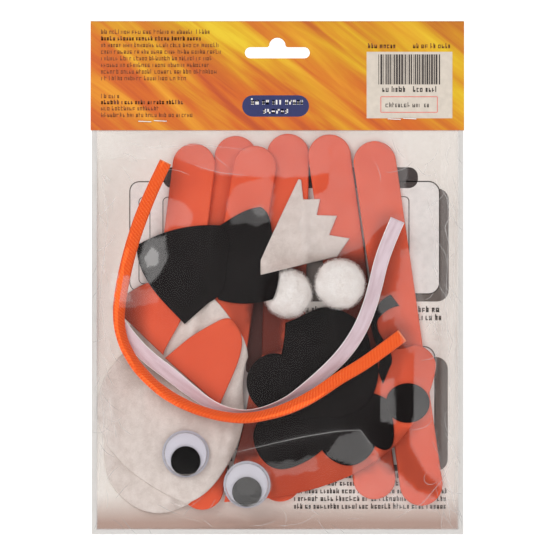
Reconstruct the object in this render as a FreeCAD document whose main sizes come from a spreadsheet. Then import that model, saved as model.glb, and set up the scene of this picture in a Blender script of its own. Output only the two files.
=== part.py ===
import FreeCAD
import Part
import Sketcher
import math
import os

from FreeCAD import Vector

# A hanging retail pack: a clear bag under a folded header card, holding the loose pieces of a
# foam-stick fox puppet kit. Millimetres. +Z is up, +X is to the right of a person looking at the
# near side, and -Y points at that person. The origin is the centre of the hang slot's round
# notch, half way through the header card.
#
# Everything in the bag is flat and lies in layers. A layer's level is the distance from the
# plane where the two films meet to the far side of the pieces in it, measured towards -Y.

DIMENSIONS = [
    # header card and bag
    ("pack_width", 190.0),
    ("header_top", 12.9),
    ("header_bottom", -42.7),
    ("card_thickness", 0.35),
    ("header_gap", 1.2),
    ("slot_length", 33.0),
    ("slot_height", 5.7),
    ("slot_top", -0.4),
    ("notch_radius", 4.4),
    ("bag_width", 188.8),
    ("bag_top", -8.0),
    ("bag_bottom", -248.2),
    ("film_thickness", 0.25),
    ("pouch_width", 187.2),
    ("pouch_top", -43.2),
    ("pouch_bottom", -246.6),
    ("pouch_depth", 20.4),
    ("pouch_rounding", 7.0),
    # staples
    ("staple_width", 14.6),
    ("staple_wire", 0.5),
    ("staple_hole", 0.6),
    ("staple_clinch", 6.4),
    # thicknesses of the stock that the pieces are cut from
    ("sheet_thickness", 0.28),
    ("sheet_width", 186.4),
    ("sheet_top", -44.0),
    ("sheet_bottom", -246.0),
    ("stick_width", 21.7),
    ("stick_length", 187.0),
    ("stick_thickness", 3.0),
    ("foam_thickness", 2.0),
    ("felt_thickness", 1.2),
    # levels of the layers, from the films' seam towards the near side
    ("level_sheet", 0.12),
    ("level_back_sticks", 0.6),
    ("level_front_sticks", 3.8),
    ("level_head", 7.0),
    ("level_muzzle", 7.0),
    ("level_belly", 8.4),
    ("level_felt_low", 9.2),
    ("level_felt_high", 10.6),
    ("level_ears", 9.8),
    ("level_tail", 11.2),
    ("level_top_ear", 12.0),
    ("level_ribbon", 12.0),
    ("level_string", 16.0),
    # pom-poms, wiggle eyes, string and ribbon
    ("pom_left_radius", 12.4),
    ("pom_right_radius", 12.9),
    ("pom_depth", 12.0),
    ("pom_level", 13.1),
    ("nose_width", 22.4),
    ("nose_height", 20.0),
    ("eye_radius", 11.9),
    ("eye_base_thickness", 0.8),
    ("dome_rim", 2.0),
    ("dome_height", 5.0),
    ("dome_wall", 0.4),
    ("pupil_radius", 7.5),
    ("pupil_thickness", 0.8),
    ("pupil_clearance", 0.35),
    ("pupil_offset", 3.6),
    ("eye_left_level", 9.8),
    ("eye_right_level", 9.2),
    ("string_diameter", 4.8),
    ("ribbon_width", 7.5),
    ("ribbon_thickness", 0.4),
]

# The six sticks: number, centre x, centre z, lean to the right at the top in degrees, layer.
STICKS = [
    (1, -52.6, -142.4, 7.1, "level_front_sticks"),
    (2, -32.7, -138.3, 8.1, "level_back_sticks"),
    (3, -24.8, -143.1, 9.3, "level_front_sticks"),
    (4, 3.4, -138.0, 1.4, "level_back_sticks"),
    (5, 37.9, -137.6, -7.9, "level_front_sticks"),
    (6, 61.3, -140.9, -8.2, "level_front_sticks"),
]

# Outlines of the cut pieces: (x, z) corners, and runs of curve through the points between them.
# A run is ("line", corner), ("arc", middle, corner) or ("curve", point, point, ..., corner), and
# each outline closes on its first corner.
OUTLINES = {
    "foam_head": [
        (-27.0, -231.6),
        ("curve", (-4.7, -229.6), (36.9, -218.3), (59.6, -202.9), (77.6, -174.8), (80.6, -163.1)),
        ("arc", (77.3, -155.2), (69.4, -151.9)),
        ("curve", (30.0, -152.6), (-4.0, -156.0), (-12.4, -162.0)),
        ("curve", (-14.6, -178.0), (-18.4, -197.0), (-22.8, -214.0), (-27.0, -231.6)),
    ],
    "paw_felt_upper": [
        (4.0, -140.6),
        ("curve", (14.5, -136.0), (25.8, -132.6), (35.2, -135.6), (41.4, -139.9), (47.0, -152.8)),
        ("curve", (51.0, -168.0), (44.0, -183.0), (20.0, -189.0), (-4.0, -186.0)),
        ("curve", (-13.4, -179.0), (-15.4, -168.0), (-9.0, -158.5), (2.0, -156.5)),
        ("curve", (3.4, -148.5), (4.0, -140.6)),
    ],
    "paw_felt_lower": [
        (-10.0, -191.0),
        ("curve", (-11.5, -203.0), (-1.0, -214.4), (10.0, -213.0), (22.7, -205.2)),
        ("curve", (29.0, -211.0), (37.0, -213.0), (46.0, -208.5), (49.5, -203.0)),
        ("curve", (56.5, -204.5), (58.8, -192.0), (55.0, -179.0)),
        ("curve", (46.0, -176.0), (25.0, -182.0), (0.0, -187.0), (-10.0, -191.0)),
    ],
    "muzzle_felt": [
        (-54.5, -236.7),
        ("curve", (-40.0, -228.0), (-30.0, -205.0), (-34.0, -184.0), (-52.0, -172.0)),
        ("curve", (-72.0, -173.0), (-84.0, -184.0), (-87.6, -200.0), (-86.0, -219.5),
         (-73.3, -233.7), (-54.5, -236.7)),
    ],
    "belly_felt": [
        (-46.9, -232.2),
        ("curve", (-36.9, -227.2), (-27.6, -216.4), (-20.2, -202.4), (-17.2, -190.0), (-17.4, -175.0),
         (-14.9, -158.0)),
        ("curve", (-17.6, -147.6), (-24.0, -138.0), (-33.0, -127.5), (-46.0, -121.5), (-60.0, -126.0),
         (-78.9, -156.5)),
        ("curve", (-88.5, -170.0), (-91.6, -182.0), (-87.5, -200.5), (-71.0, -218.5), (-46.9, -232.2)),
    ],
    "outer_ear_left": [
        (-71.6, -101.3),
        ("curve", (-56.5, -94.5), (-40.8, -91.3), (-29.1, -91.1)),
        ("curve", (-25.0, -96.5), (-25.2, -108.0), (-29.8, -126.9), (-34.3, -130.0)),
        ("line", (-47.0, -141.2)),
        ("curve", (-57.7, -130.0), (-65.4, -120.4), (-71.6, -101.3)),
    ],
    "outer_ear_right": [
        (-29.1, -91.1),
        ("curve", (-22.0, -86.7), (-13.6, -82.8), (-8.4, -81.8)),
        ("curve", (-5.2, -84.8), (-2.7, -94.5), (0.7, -113.8), (-2.3, -128.5)),
        ("curve", (-18.9, -130.8), (-29.8, -128.8)),
        ("line", (-38.0, -110.0)),
        ("line", (-29.1, -91.1)),
    ],
    "inner_ear_left": [
        (-83.7, -132.6),
        ("curve", (-73.0, -123.6), (-60.0, -118.2), (-50.0, -117.6), (-46.2, -121.0),
         (-46.6, -134.0), (-57.8, -157.0)),
        ("line", (-83.7, -132.6)),
    ],
    "inner_ear_right": [
        (-57.0, -158.4),
        ("curve", (-45.0, -148.5), (-32.0, -140.6), (-24.0, -138.4), (-19.6, -143.0),
         (-19.8, -160.0), (-29.1, -182.9)),
        ("line", (-57.0, -158.4)),
    ],
    "tail_tip_felt": [
        (-8.5, -116.3),
        ("line", (-8.5, -108.9)),
        ("curve", (-1.8, -94.0), (10.7, -67.6)),
        ("line", (12.1, -68.0)),
        ("line", (13.2, -77.9)),
        ("line", (21.7, -77.7)),
        ("line", (20.0, -85.9)),
        ("line", (30.3, -86.2)),
        ("line", (26.3, -96.0)),
        ("line", (36.7, -97.7)),
        ("line", (30.3, -107.0)),
        ("curve", (14.6, -110.7), (-8.5, -116.3)),
    ],
    "mouth_felt": [
        (57.6, -126.3),
        ("line", (62.0, -132.0)),
        ("curve", (53.7, -135.8), (50.6, -140.0), (54.3, -150.0), (57.0, -163.0)),
        ("line", (53.5, -171.5)),
        ("line", (51.0, -165.0)),
        ("curve", (49.6, -150.0), (47.6, -140.2), (50.4, -132.4), (57.6, -126.3)),
    ],
}

# The cut pieces: name, spreadsheet cell of the stock's thickness, cell of the layer's level.
CUT_PIECES = [
    ("foam_head", "foam_thickness", "level_head"),
    ("paw_felt_upper", "felt_thickness", "level_felt_high"),
    ("paw_felt_lower", "felt_thickness", "level_felt_low"),
    ("muzzle_felt", "felt_thickness", "level_muzzle"),
    ("belly_felt", "felt_thickness", "level_belly"),
    ("outer_ear_left", "felt_thickness", "level_top_ear"),
    ("outer_ear_right", "felt_thickness", "level_ears"),
    ("inner_ear_left", "foam_thickness", "level_ears"),
    ("inner_ear_right", "foam_thickness", "level_ears"),
    ("tail_tip_felt", "felt_thickness", "level_tail"),
    ("mouth_felt", "felt_thickness", "level_felt_low"),
]

NOSE_CENTRE = (66.1, -181.2)
POM_POMS = [
    ("pom_pom_left", "pom_left_radius", (5.4, -125.7)),
    ("pom_pom_right", "pom_right_radius", (31.6, -120.9)),
]
EYES = [
    ("eye_left", "eye_left_level", (-46.4, -206.8)),
    ("eye_right", "eye_right_level", (-15.4, -222.4)),
]
STAPLES = [
    ("staple_left", (-63.5, -38.1)),
    ("staple_right", (63.4, -36.9)),
]

# Routes of the string and the ribbon, as (x, z) corners that tangent arcs round off.
STRING_ROUTE = [
    (-56.4, -59.2), (-62.4, -71.6), (-68.7, -86.6), (-73.4, -100.6), (-76.9, -114.3),
    (-79.4, -127.6), (-80.3, -139.6), (-77.9, -150.8), (-71.9, -161.6), (-61.6, -172.7),
    (-48.4, -181.2), (-34.6, -186.4), (-21.6, -188.7), (-10.2, -188.1), (0.8, -185.3),
    (11.6, -181.0), (21.4, -175.3), (31.2, -168.3), (42.4, -162.0), (53.2, -154.2),
    (63.1, -146.8),
]
RIBBON_ROUTE = [
    (60.8, -88.4), (56.0, -99.4), (52.2, -110.2), (49.7, -121.2), (46.6, -132.6),
    (41.6, -144.6), (34.4, -155.4), (25.6, -164.4), (15.2, -172.6), (3.4, -180.2),
    (-9.6, -184.9), (-22.6, -185.6), (-34.0, -182.0), (-44.4, -174.4), (-54.6, -166.0),
    (-64.6, -158.6), (-73.0, -150.4), (-79.4, -142.0),
]

doc = FreeCAD.newDocument("stick_puppet_kit")


def make_spreadsheet():
    """Keep every driving dimension in one sheet, a name and a number on each row."""
    table = doc.addObject("Spreadsheet::Sheet", "sizes")
    for row, (name, value) in enumerate(DIMENSIONS, 1):
        table.set("A%d" % row, name)
        table.set("B%d" % row, str(value))
        table.setAlias("B%d" % row, name)
    doc.recompute()
    return table


sizes = make_spreadsheet()


def size(name):
    return float(sizes.get(name))


# ---------------------------------------------------------------- helpers

def new_body(label):
    body = doc.addObject("PartDesign::Body", label)
    body.Label = label
    return body


def sketch_on(body, role, name):
    """A sketch on one of the body's own origin planes. On XZ_Plane, the sketch's x is +X, its y
    is +Z and it faces -Y, so a pad from it grows towards the near side."""
    plane = [item for item in body.Origin.OriginFeatures if item.Role == role][0]
    sketch = body.newObject("Sketcher::SketchObject", name)
    sketch.AttachmentSupport = [(plane, "")]
    sketch.MapMode = "FlatFace"
    return sketch


def pad(body, sketch, expression, name, symmetric=False):
    feature = body.newObject("PartDesign::Pad", name)
    feature.Profile = sketch
    if symmetric:
        feature.SideType = "Symmetric"
    feature.setExpression("Length", expression)
    return feature


def cut_through(body, sketch, name):
    """A pocket through the whole body on both sides of the sketch; it must remove material."""
    doc.recompute()
    before = body.Shape.Volume
    feature = body.newObject("PartDesign::Pocket", name)
    feature.Profile = sketch
    feature.SideType = "Symmetric"
    feature.Type = "ThroughAll"
    doc.recompute()
    if body.Shape.Volume > before - 1e-6:
        raise RuntimeError("%s removed nothing from %s" % (name, body.Label))
    return feature


def vector(point):
    return Vector(point[0], point[1], 0)


def outline_edges(outline):
    """Sketch geometry for an outline of corners, lines, arcs and curves."""
    start = outline[0]
    edges = []
    for run in outline[1:]:
        kind = run[0]
        points = [vector(point) for point in [start] + list(run[1:])]
        if kind == "line":
            edges.append(Part.LineSegment(points[0], points[-1]))
        elif kind == "arc":
            edges.append(Part.Arc(*points))
        else:
            curve = Part.BSplineCurve()
            curve.interpolate(points)
            edges.append(curve)
        start = run[-1]
    if start != outline[0]:
        edges.append(Part.LineSegment(vector(start), vector(outline[0])))
    return edges


def rectangle(sketch, x_size, z_low, z_high, name):
    """A rectangle centred on the sketch's vertical axis. Its sizes are expressions."""
    half = 10.0
    corners = [(-half, -half), (half, -half), (half, half), (-half, half)]
    first = sketch.GeometryCount
    for index in range(4):
        sketch.addGeometry(Part.LineSegment(vector(corners[index]), vector(corners[(index + 1) % 4])))
    for index in range(4):
        following = (index + 1) % 4
        sketch.addConstraint(Sketcher.Constraint("Coincident", first + index, 2, first + following, 1))
    for kind, index in (("Vertical", 1), ("Horizontal", 2), ("Vertical", 3)):
        sketch.addConstraint(Sketcher.Constraint(kind, first + index))
    sketch.addConstraint(Sketcher.Constraint("Symmetric", first, 1, first, 2, -2))
    for label, constraint, expression in (
        ("width", Sketcher.Constraint("DistanceX", first, 1, first, 2, 2 * half), x_size),
        ("low", Sketcher.Constraint("DistanceY", -1, 1, first, 1, -half), z_low),
        ("high", Sketcher.Constraint("DistanceY", -1, 1, first + 2, 1, half), z_high),
    ):
        index = sketch.addConstraint(constraint)
        sketch.renameConstraint(index, name + "_" + label)
        sketch.setExpression("Constraints.%s_%s" % (name, label), expression)


def circle(sketch, x, z, radius_expression, name):
    """A circle with its centre fixed and its radius bound to the spreadsheet."""
    index = sketch.addGeometry(Part.Circle(Vector(x, z, 0), Vector(0, 0, 1), 1.0))
    sketch.addConstraint(Sketcher.Constraint("DistanceX", -1, 1, index, 3, x))
    sketch.addConstraint(Sketcher.Constraint("DistanceY", -1, 1, index, 3, z))
    number = sketch.addConstraint(Sketcher.Constraint("Radius", index, 1.0))
    sketch.renameConstraint(number, name)
    sketch.setExpression("Constraints." + name, radius_expression)
    return index


def staple_legs():
    """Where the staples' legs go through the card and the films."""
    half = (size("staple_width") - size("staple_wire")) / 2
    return [(x + side * half, z) for _, (x, z) in STAPLES for side in (-1, 1)]


def staple_holes(body, name):
    sketch = sketch_on(body, "XZ_Plane", name + "_sketch")
    for number, (x, z) in enumerate(staple_legs(), 1):
        circle(sketch, x, z, "sizes.staple_hole / 2", "hole_%d" % number)
    cut_through(body, sketch, name)


def rounded_path(points):
    """Straight runs joined by tangent arcs, each as large as its two runs allow."""
    share = 0.45
    edges = []
    radii = []
    start = points[0]
    for index in range(1, len(points) - 1):
        before = points[index - 1] - points[index]
        after = points[index + 1] - points[index]
        turn = math.pi - before.getAngle(after)
        trim = share * min(before.Length, after.Length)
        radius = trim / math.tan(turn / 2)
        into = points[index] + before.normalize() * trim
        out = points[index] + after.normalize() * trim
        middle_way = (before + after).normalize()
        middle = points[index] + middle_way * (radius / math.cos(turn / 2) - radius)
        edges.append(Part.LineSegment(start, into).toShape())
        edges.append(Part.Arc(into, middle, out).toShape())
        radii.append(radius)
        start = out
    edges.append(Part.LineSegment(start, points[-1]).toShape())
    return Part.Wire(edges), radii


def sweep(path, profile, label):
    """A solid swept along a path; its volume must be near the section times the length."""
    shell = path.makePipeShell([profile], True, True)
    expected = Part.Face(profile).Area * path.Length
    if abs(shell.Volume - expected) > 0.02 * expected:
        raise RuntimeError("%s: swept volume %.1f, expected %.1f" % (label, shell.Volume, expected))
    feature = doc.addObject("Part::Feature", label)
    feature.Label = label
    feature.Shape = shell
    feature.Placement = FreeCAD.Placement()
    return feature


# ---------------------------------------------------------------- header card and bag

def make_header_card():
    """One card folded over the bag's top, with a slot through both panels."""
    body = new_body("header_card")
    profile = sketch_on(body, "YZ_Plane", "header_profile")
    inner = size("header_gap") / 2
    outer = inner + size("card_thickness")
    low = size("header_bottom")
    spring = size("header_top") - outer
    outline = [
        (-outer, low),
        ("line", (-outer, spring)),
        ("arc", (0.0, spring + outer), (outer, spring)),
        ("line", (outer, low)),
        ("line", (inner, low)),
        ("line", (inner, spring)),
        ("arc", (0.0, spring + inner), (-inner, spring)),
        ("line", (-inner, low)),
    ]
    profile.addGeometry(outline_edges(outline), False)
    pad(body, profile, "sizes.pack_width", "header_pad", symmetric=True)

    slot = sketch_on(body, "XZ_Plane", "hang_slot")
    slot_low = size("slot_top") - size("slot_height")
    end_radius = size("slot_height") / 2
    end_centre = size("slot_length") / 2 - end_radius
    axis = size("slot_top") - end_radius
    notch = size("notch_radius")
    shoulder = notch + 0.9
    top = size("slot_top")
    outline = [
        (-end_centre, slot_low),
        ("line", (end_centre, slot_low)),
        ("arc", (end_centre + end_radius, axis), (end_centre, top)),
        ("line", (shoulder, top)),
        ("arc", (notch * 0.98, top + 0.6), (notch * 0.92, top + 1.6)),
        ("arc", (0.0, notch), (-notch * 0.92, top + 1.6)),
        ("arc", (-notch * 0.98, top + 0.6), (-shoulder, top)),
        ("line", (-end_centre, top)),
        ("arc", (-end_centre - end_radius, axis), (-end_centre, slot_low)),
    ]
    slot.addGeometry(outline_edges(outline), False)
    cut_through(body, slot, "hang_slot_cut")
    staple_holes(body, "header_holes")
    return body


def make_far_film():
    body = new_body("bag_far_film")
    sketch = sketch_on(body, "XZ_Plane", "far_film_outline")
    rectangle(sketch, "sizes.bag_width", "sizes.bag_bottom", "sizes.bag_top", "film")
    pad(body, sketch, "sizes.film_thickness", "far_film_pad")
    body.setExpression("Placement.Base.y", "sizes.film_thickness")
    staple_holes(body, "far_film_holes")
    return body


def film_block(name, width, low, high, depth, rounding):
    """A block with its near edges rounded. Its sizes are expressions."""
    block = doc.addObject("Part::Box", name)
    block.setExpression("Length", width)
    block.setExpression("Width", depth)
    block.setExpression("Height", "%s - (%s)" % (high, low))
    block.setExpression("Placement.Base.x", "-(%s) / 2" % width)
    block.setExpression("Placement.Base.y", "-(%s)" % depth)
    block.setExpression("Placement.Base.z", low)
    doc.recompute()
    if not rounding:
        return block
    near = block.Shape.BoundBox.YMin
    fillet = doc.addObject("Part::Fillet", name + "_rounded")
    fillet.Base = block
    fillet.Edges = [
        (number, rounding, rounding)
        for number, edge in enumerate(block.Shape.Edges, 1)
        if edge.BoundBox.YMax < near + 1e-6
    ]
    return fillet


def boolean(kind, name, base, tool):
    feature = doc.addObject("Part::" + kind, name)
    feature.Base = base
    feature.Tool = tool
    return feature


def make_near_film():
    """The near film: a rounded pouch over the contents, and the flat seal band round it."""
    film = size("film_thickness")
    outside = film_block("pouch_outside", "sizes.pouch_width", "sizes.pouch_bottom",
                         "sizes.pouch_top", "sizes.pouch_depth", size("pouch_rounding"))
    inside = film_block("pouch_inside", "sizes.pouch_width - 2 * sizes.film_thickness",
                        "sizes.pouch_bottom + sizes.film_thickness",
                        "sizes.pouch_top - sizes.film_thickness",
                        "sizes.pouch_depth - sizes.film_thickness", size("pouch_rounding") - film)
    band = film_block("seal_band", "sizes.bag_width", "sizes.bag_bottom", "sizes.bag_top",
                      "sizes.film_thickness", 0)
    whole = boolean("Fuse", "pouch_and_band", outside, band)
    shell = boolean("Cut", "pouch_shell", whole, inside)
    doc.recompute()
    before = shell.Shape.Volume
    radius = size("staple_hole") / 2
    for number, (x, z) in enumerate(staple_legs(), 1):
        hole = doc.addObject("Part::Cylinder", "near_film_hole_%d" % number)
        hole.setExpression("Radius", "sizes.staple_hole / 2")
        hole.Height = 4 * radius
        hole.Placement = FreeCAD.Placement(Vector(x, 2 * radius, z), FreeCAD.Rotation(Vector(1, 0, 0), 90))
        shell = boolean("Cut", "near_film_pierced_%d" % number, shell, hole)
    doc.recompute()
    if shell.Shape.Volume > before - 1e-6:
        raise RuntimeError("the staple holes removed nothing from the near film")
    shell.Label = "bag_near_film"
    return shell


def make_staple(label, centre):
    """Bent wire: its crown lies on the far side and its legs are folded in on the near side."""
    x, z = centre
    half = (size("staple_width") - size("staple_wire")) / 2
    radius = size("staple_wire") / 2
    face = size("header_gap") / 2 + size("card_thickness") + radius + 0.03
    clinch = size("staple_clinch")
    bend = 1.6 * radius
    corners = [
        Vector(x - half + clinch, -face - 0.25, z - 0.3),
        Vector(x - half, -face, z),
        Vector(x - half, face, z),
        Vector(x + half, face, z),
        Vector(x + half, -face, z),
        Vector(x + half - clinch, -face - 0.25, z + 0.3),
    ]
    edges = []
    start = corners[0]
    for index in range(1, 5):
        before = (corners[index - 1] - corners[index]).normalize()
        after = (corners[index + 1] - corners[index]).normalize()
        turn = math.pi - before.getAngle(after)
        trim = bend * math.tan(turn / 2)
        into = corners[index] + before * trim
        out = corners[index] + after * trim
        middle = corners[index] + (before + after).normalize() * (bend / math.cos(turn / 2) - bend)
        edges.append(Part.LineSegment(start, into).toShape())
        edges.append(Part.Arc(into, middle, out).toShape())
        start = out
    edges.append(Part.LineSegment(start, corners[5]).toShape())
    along = (corners[1] - corners[0]).normalize()
    profile = Part.Wire([Part.Circle(corners[0], along, radius).toShape()])
    return sweep(Part.Wire(edges), profile, label)


def make_instruction_sheet():
    body = new_body("instruction_sheet")
    sketch = sketch_on(body, "XZ_Plane", "sheet_outline")
    rectangle(sketch, "sizes.sheet_width", "sizes.sheet_bottom", "sizes.sheet_top", "paper")
    pad(body, sketch, "sizes.sheet_thickness", "sheet_pad")
    body.setExpression("Placement.Base.y", "-sizes.level_sheet")
    return body


# ---------------------------------------------------------------- foam and felt pieces

def make_stick(number, x, z, lean, level):
    """A foam strip with full-round ends, drawn upright about its own centre, then leaned."""
    body = new_body("foam_stick_%d" % number)
    sketch = sketch_on(body, "XZ_Plane", "stick_%d_outline" % number)
    radius = size("stick_width") / 2
    straight = size("stick_length") / 2 - radius
    sketch.addGeometry([
        Part.Arc(Vector(radius, straight, 0), Vector(0, straight + radius, 0), Vector(-radius, straight, 0)),
        Part.LineSegment(Vector(-radius, straight, 0), Vector(-radius, -straight, 0)),
        Part.Arc(Vector(-radius, -straight, 0), Vector(0, -straight - radius, 0), Vector(radius, -straight, 0)),
        Part.LineSegment(Vector(radius, -straight, 0), Vector(radius, straight, 0)),
    ], False)
    joined = [(0, 2, 1, 1), (1, 2, 2, 1), (2, 2, 3, 1), (3, 2, 0, 1)]
    for first, first_end, second, second_end in joined:
        sketch.addConstraint(Sketcher.Constraint("Tangent", first, first_end, second, second_end))
    sketch.addConstraint(Sketcher.Constraint("Symmetric", 0, 3, 2, 3, -1, 1))
    sketch.addConstraint(Sketcher.Constraint("PointOnObject", 0, 3, -2))
    rounding = sketch.addConstraint(Sketcher.Constraint("Radius", 0, radius))
    sketch.renameConstraint(rounding, "rounding")
    sketch.setExpression("Constraints.rounding", "sizes.stick_width / 2")
    spacing = sketch.addConstraint(Sketcher.Constraint("DistanceY", 2, 3, 0, 3, 2 * straight))
    sketch.renameConstraint(spacing, "spacing")
    sketch.setExpression("Constraints.spacing", "sizes.stick_length - sizes.stick_width")
    pad(body, sketch, "sizes.stick_thickness", "stick_%d_pad" % number)
    turn = FreeCAD.Rotation(Vector(0, 1, 0), lean)
    body.Placement = FreeCAD.Placement(Vector(x, 0, z), turn)
    body.setExpression("Placement.Base.y", "-sizes." + level)
    return body


def make_cut_piece(label, thickness, level):
    """A flat piece cut to its outline from foam or felt."""
    body = new_body(label)
    sketch = sketch_on(body, "XZ_Plane", label + "_outline")
    sketch.addGeometry(outline_edges(OUTLINES[label]), False)
    pad(body, sketch, "sizes." + thickness, label + "_pad")
    body.setExpression("Placement.Base.y", "-sizes." + level)
    return body


def make_nose():
    """An oval of black foam, drawn as an ellipse about its own centre."""
    body = new_body("nose")
    sketch = sketch_on(body, "XZ_Plane", "nose_outline")
    sketch.addGeometry(Part.Ellipse(Vector(0, 0, 0), size("nose_width") / 2, size("nose_height") / 2))
    pad(body, sketch, "sizes.felt_thickness", "nose_pad")
    body.Placement.Base = Vector(NOSE_CENTRE[0], 0, NOSE_CENTRE[1])
    body.setExpression("Placement.Base.y", "-sizes.level_felt_high")
    return body


def make_pom_pom(label, radius, centre):
    """A soft ball, flattened between the sticks and the near film."""
    ball = doc.addObject("Part::Ellipsoid", label)
    ball.Label = label
    ball.setExpression("Radius1", "sizes." + radius)
    ball.setExpression("Radius2", "sizes." + radius)
    ball.setExpression("Radius3", "sizes.pom_depth / 2")
    ball.Placement.Base = Vector(centre[0], 0, centre[1])
    ball.setExpression("Placement.Base.y", "-sizes.pom_level")
    return ball


def notch_pom_pom(ball, piece):
    """Press a felt piece's corner into a soft ball, with a little room round the felt."""
    doc.recompute()
    room = 0.25
    ball.Label = ball.Label + "_ball"
    felt = doc.addObject("Part::Offset", ball.Name + "_dent")
    felt.Source = piece
    felt.Value = room
    felt.Join = 2
    notched = doc.addObject("Part::Cut", ball.Name + "_notched")
    notched.Base = ball
    notched.Tool = felt
    notched.Label = ball.Name
    return notched


# ---------------------------------------------------------------- wiggle eyes

def eye_part(label, level, centre, forward):
    """A body at an eye's centre, a distance in front of the eye's level given as an expression."""
    body = new_body(label)
    body.Placement.Base = Vector(centre[0], 0, centre[1])
    body.setExpression("Placement.Base.y", "-sizes.%s - (%s)" % (level, forward))
    return body


def make_eye(name, level, centre):
    """A white disc, a clear dome with an upright rim, and a loose black disc under the dome."""
    base = eye_part(name + "_base", level, centre, "0")
    disc = sketch_on(base, "XZ_Plane", name + "_disc")
    circle(disc, 0, 0, "sizes.eye_radius", "disc_radius")
    pad(base, disc, "sizes.eye_base_thickness", name + "_disc_pad")

    dome = eye_part(name + "_dome", level, centre, "sizes.eye_base_thickness")
    profile = sketch_on(dome, "XY_Plane", name + "_dome_profile")
    radius = size("eye_radius")
    wall = size("dome_wall")
    rim = size("dome_rim")
    top = size("dome_height")

    def crown(edge_radius, apex):
        """The middle and the end of the arc from the rim's edge to the axis."""
        rise = apex - rim
        sphere = (edge_radius ** 2 + rise ** 2) / (2 * rise)
        half_turn = math.asin(edge_radius / sphere) / 2
        middle = (sphere * math.sin(half_turn), -(apex - sphere + sphere * math.cos(half_turn)))
        return middle, (0.0, -apex)

    inner_middle, inner_end = crown(radius - wall, top - wall)
    outer_middle, outer_end = crown(radius, top)
    outline = [
        (radius - wall, 0.0),
        ("line", (radius, 0.0)),
        ("line", (radius, -rim)),
        ("arc", outer_middle, outer_end),
        ("line", inner_end),
        ("arc", inner_middle, (radius - wall, -rim)),
        ("line", (radius - wall, 0.0)),
    ]
    profile.addGeometry(outline_edges(outline), False)
    turned = dome.newObject("PartDesign::Revolution", name + "_dome_turned")
    turned.Profile = profile
    turned.ReferenceAxis = (profile, ["V_Axis"])
    turned.Angle = 360.0

    ahead = "sizes.eye_base_thickness + sizes.pupil_clearance"
    pupil = eye_part(name + "_pupil", level, centre, ahead)
    dot = sketch_on(pupil, "XZ_Plane", name + "_dot")
    circle(dot, 0, -size("pupil_offset"), "sizes.pupil_radius", "dot_radius")
    pad(pupil, dot, "sizes.pupil_thickness", name + "_dot_pad")
    return [base, dome, pupil]


# ---------------------------------------------------------------- string and ribbon

def along_level(route, level):
    return [Vector(x, -size(level), z) for x, z in route]


def print_radii(label, radii, width):
    smallest = min(radii)
    print("%s: radii %s mm" % (label, ", ".join("%.0f" % radius for radius in radii)))
    print("%s: smallest %.1f mm, %.1f times its width" % (label, smallest, smallest / width))


def make_string():
    path, radii = rounded_path(along_level(STRING_ROUTE, "level_string"))
    start = path.Vertexes[0].Point
    along = path.Edges[0].tangentAt(path.Edges[0].FirstParameter)
    section = Part.Wire([Part.Circle(start, along, size("string_diameter") / 2).toShape()])
    print_radii("string", radii, size("string_diameter"))
    print("string: length %.1f mm" % path.Length)
    return sweep(path, section, "string")


def make_ribbon():
    """A flat strip that bends in its own plane, so its section stands square to the route."""
    path, radii = rounded_path(along_level(RIBBON_ROUTE, "level_ribbon"))
    start = path.Vertexes[0].Point
    along = path.Edges[0].tangentAt(path.Edges[0].FirstParameter)
    across = along.cross(Vector(0, 1, 0)).normalize() * (size("ribbon_width") / 2)
    near = Vector(0, -size("ribbon_thickness"), 0)
    corners = [start - across, start + across, start + across + near, start - across + near]
    section = Part.makePolygon(corners + corners[:1])
    print_radii("ribbon", radii, size("ribbon_width"))
    print("ribbon: length %.1f mm" % path.Length)
    return sweep(path, section, "ribbon")


# ---------------------------------------------------------------- the whole pack

nodes = [make_header_card(), make_near_film(), make_far_film(), make_instruction_sheet()]
for staple_name, staple_centre in STAPLES:
    nodes.append(make_staple(staple_name, staple_centre))
for stick in STICKS:
    nodes.append(make_stick(*stick))
cut_pieces = {}
for piece_name, stock, layer in CUT_PIECES:
    cut_pieces[piece_name] = make_cut_piece(piece_name, stock, layer)
nodes.extend(cut_pieces.values())
nodes.append(make_nose())
balls = [make_pom_pom(*pom_pom) for pom_pom in POM_POMS]
nodes.append(notch_pom_pom(balls[0], cut_pieces["outer_ear_right"]))
nodes.append(balls[1])
for eye in EYES:
    nodes.extend(make_eye(*eye))
nodes.append(make_string())
nodes.append(make_ribbon())
doc.recompute()

for item in doc.Objects:
    if "Invalid" in item.State or "Error" in item.State:
        raise RuntimeError("%s did not build: %s" % (item.Label, item.State))
for node in nodes:
    if node.Shape.isNull() or not node.Shape.isValid():
        raise RuntimeError(node.Label + " has no valid shape")
    if len(node.Shape.Solids) != 1:
        raise RuntimeError("%s has %d solids" % (node.Label, len(node.Shape.Solids)))

os.makedirs("parts", exist_ok=True)
for node in nodes:
    node.Shape.exportStep("parts/%s.step" % node.Label)
    print("%-20s %9.1f mm3" % (node.Label, node.Shape.Volume))
print("%d nodes" % len(nodes))
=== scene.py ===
import math

import bpy
import numpy as np
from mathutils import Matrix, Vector, noise
from mathutils.geometry import delaunay_2d_cdt


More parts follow.
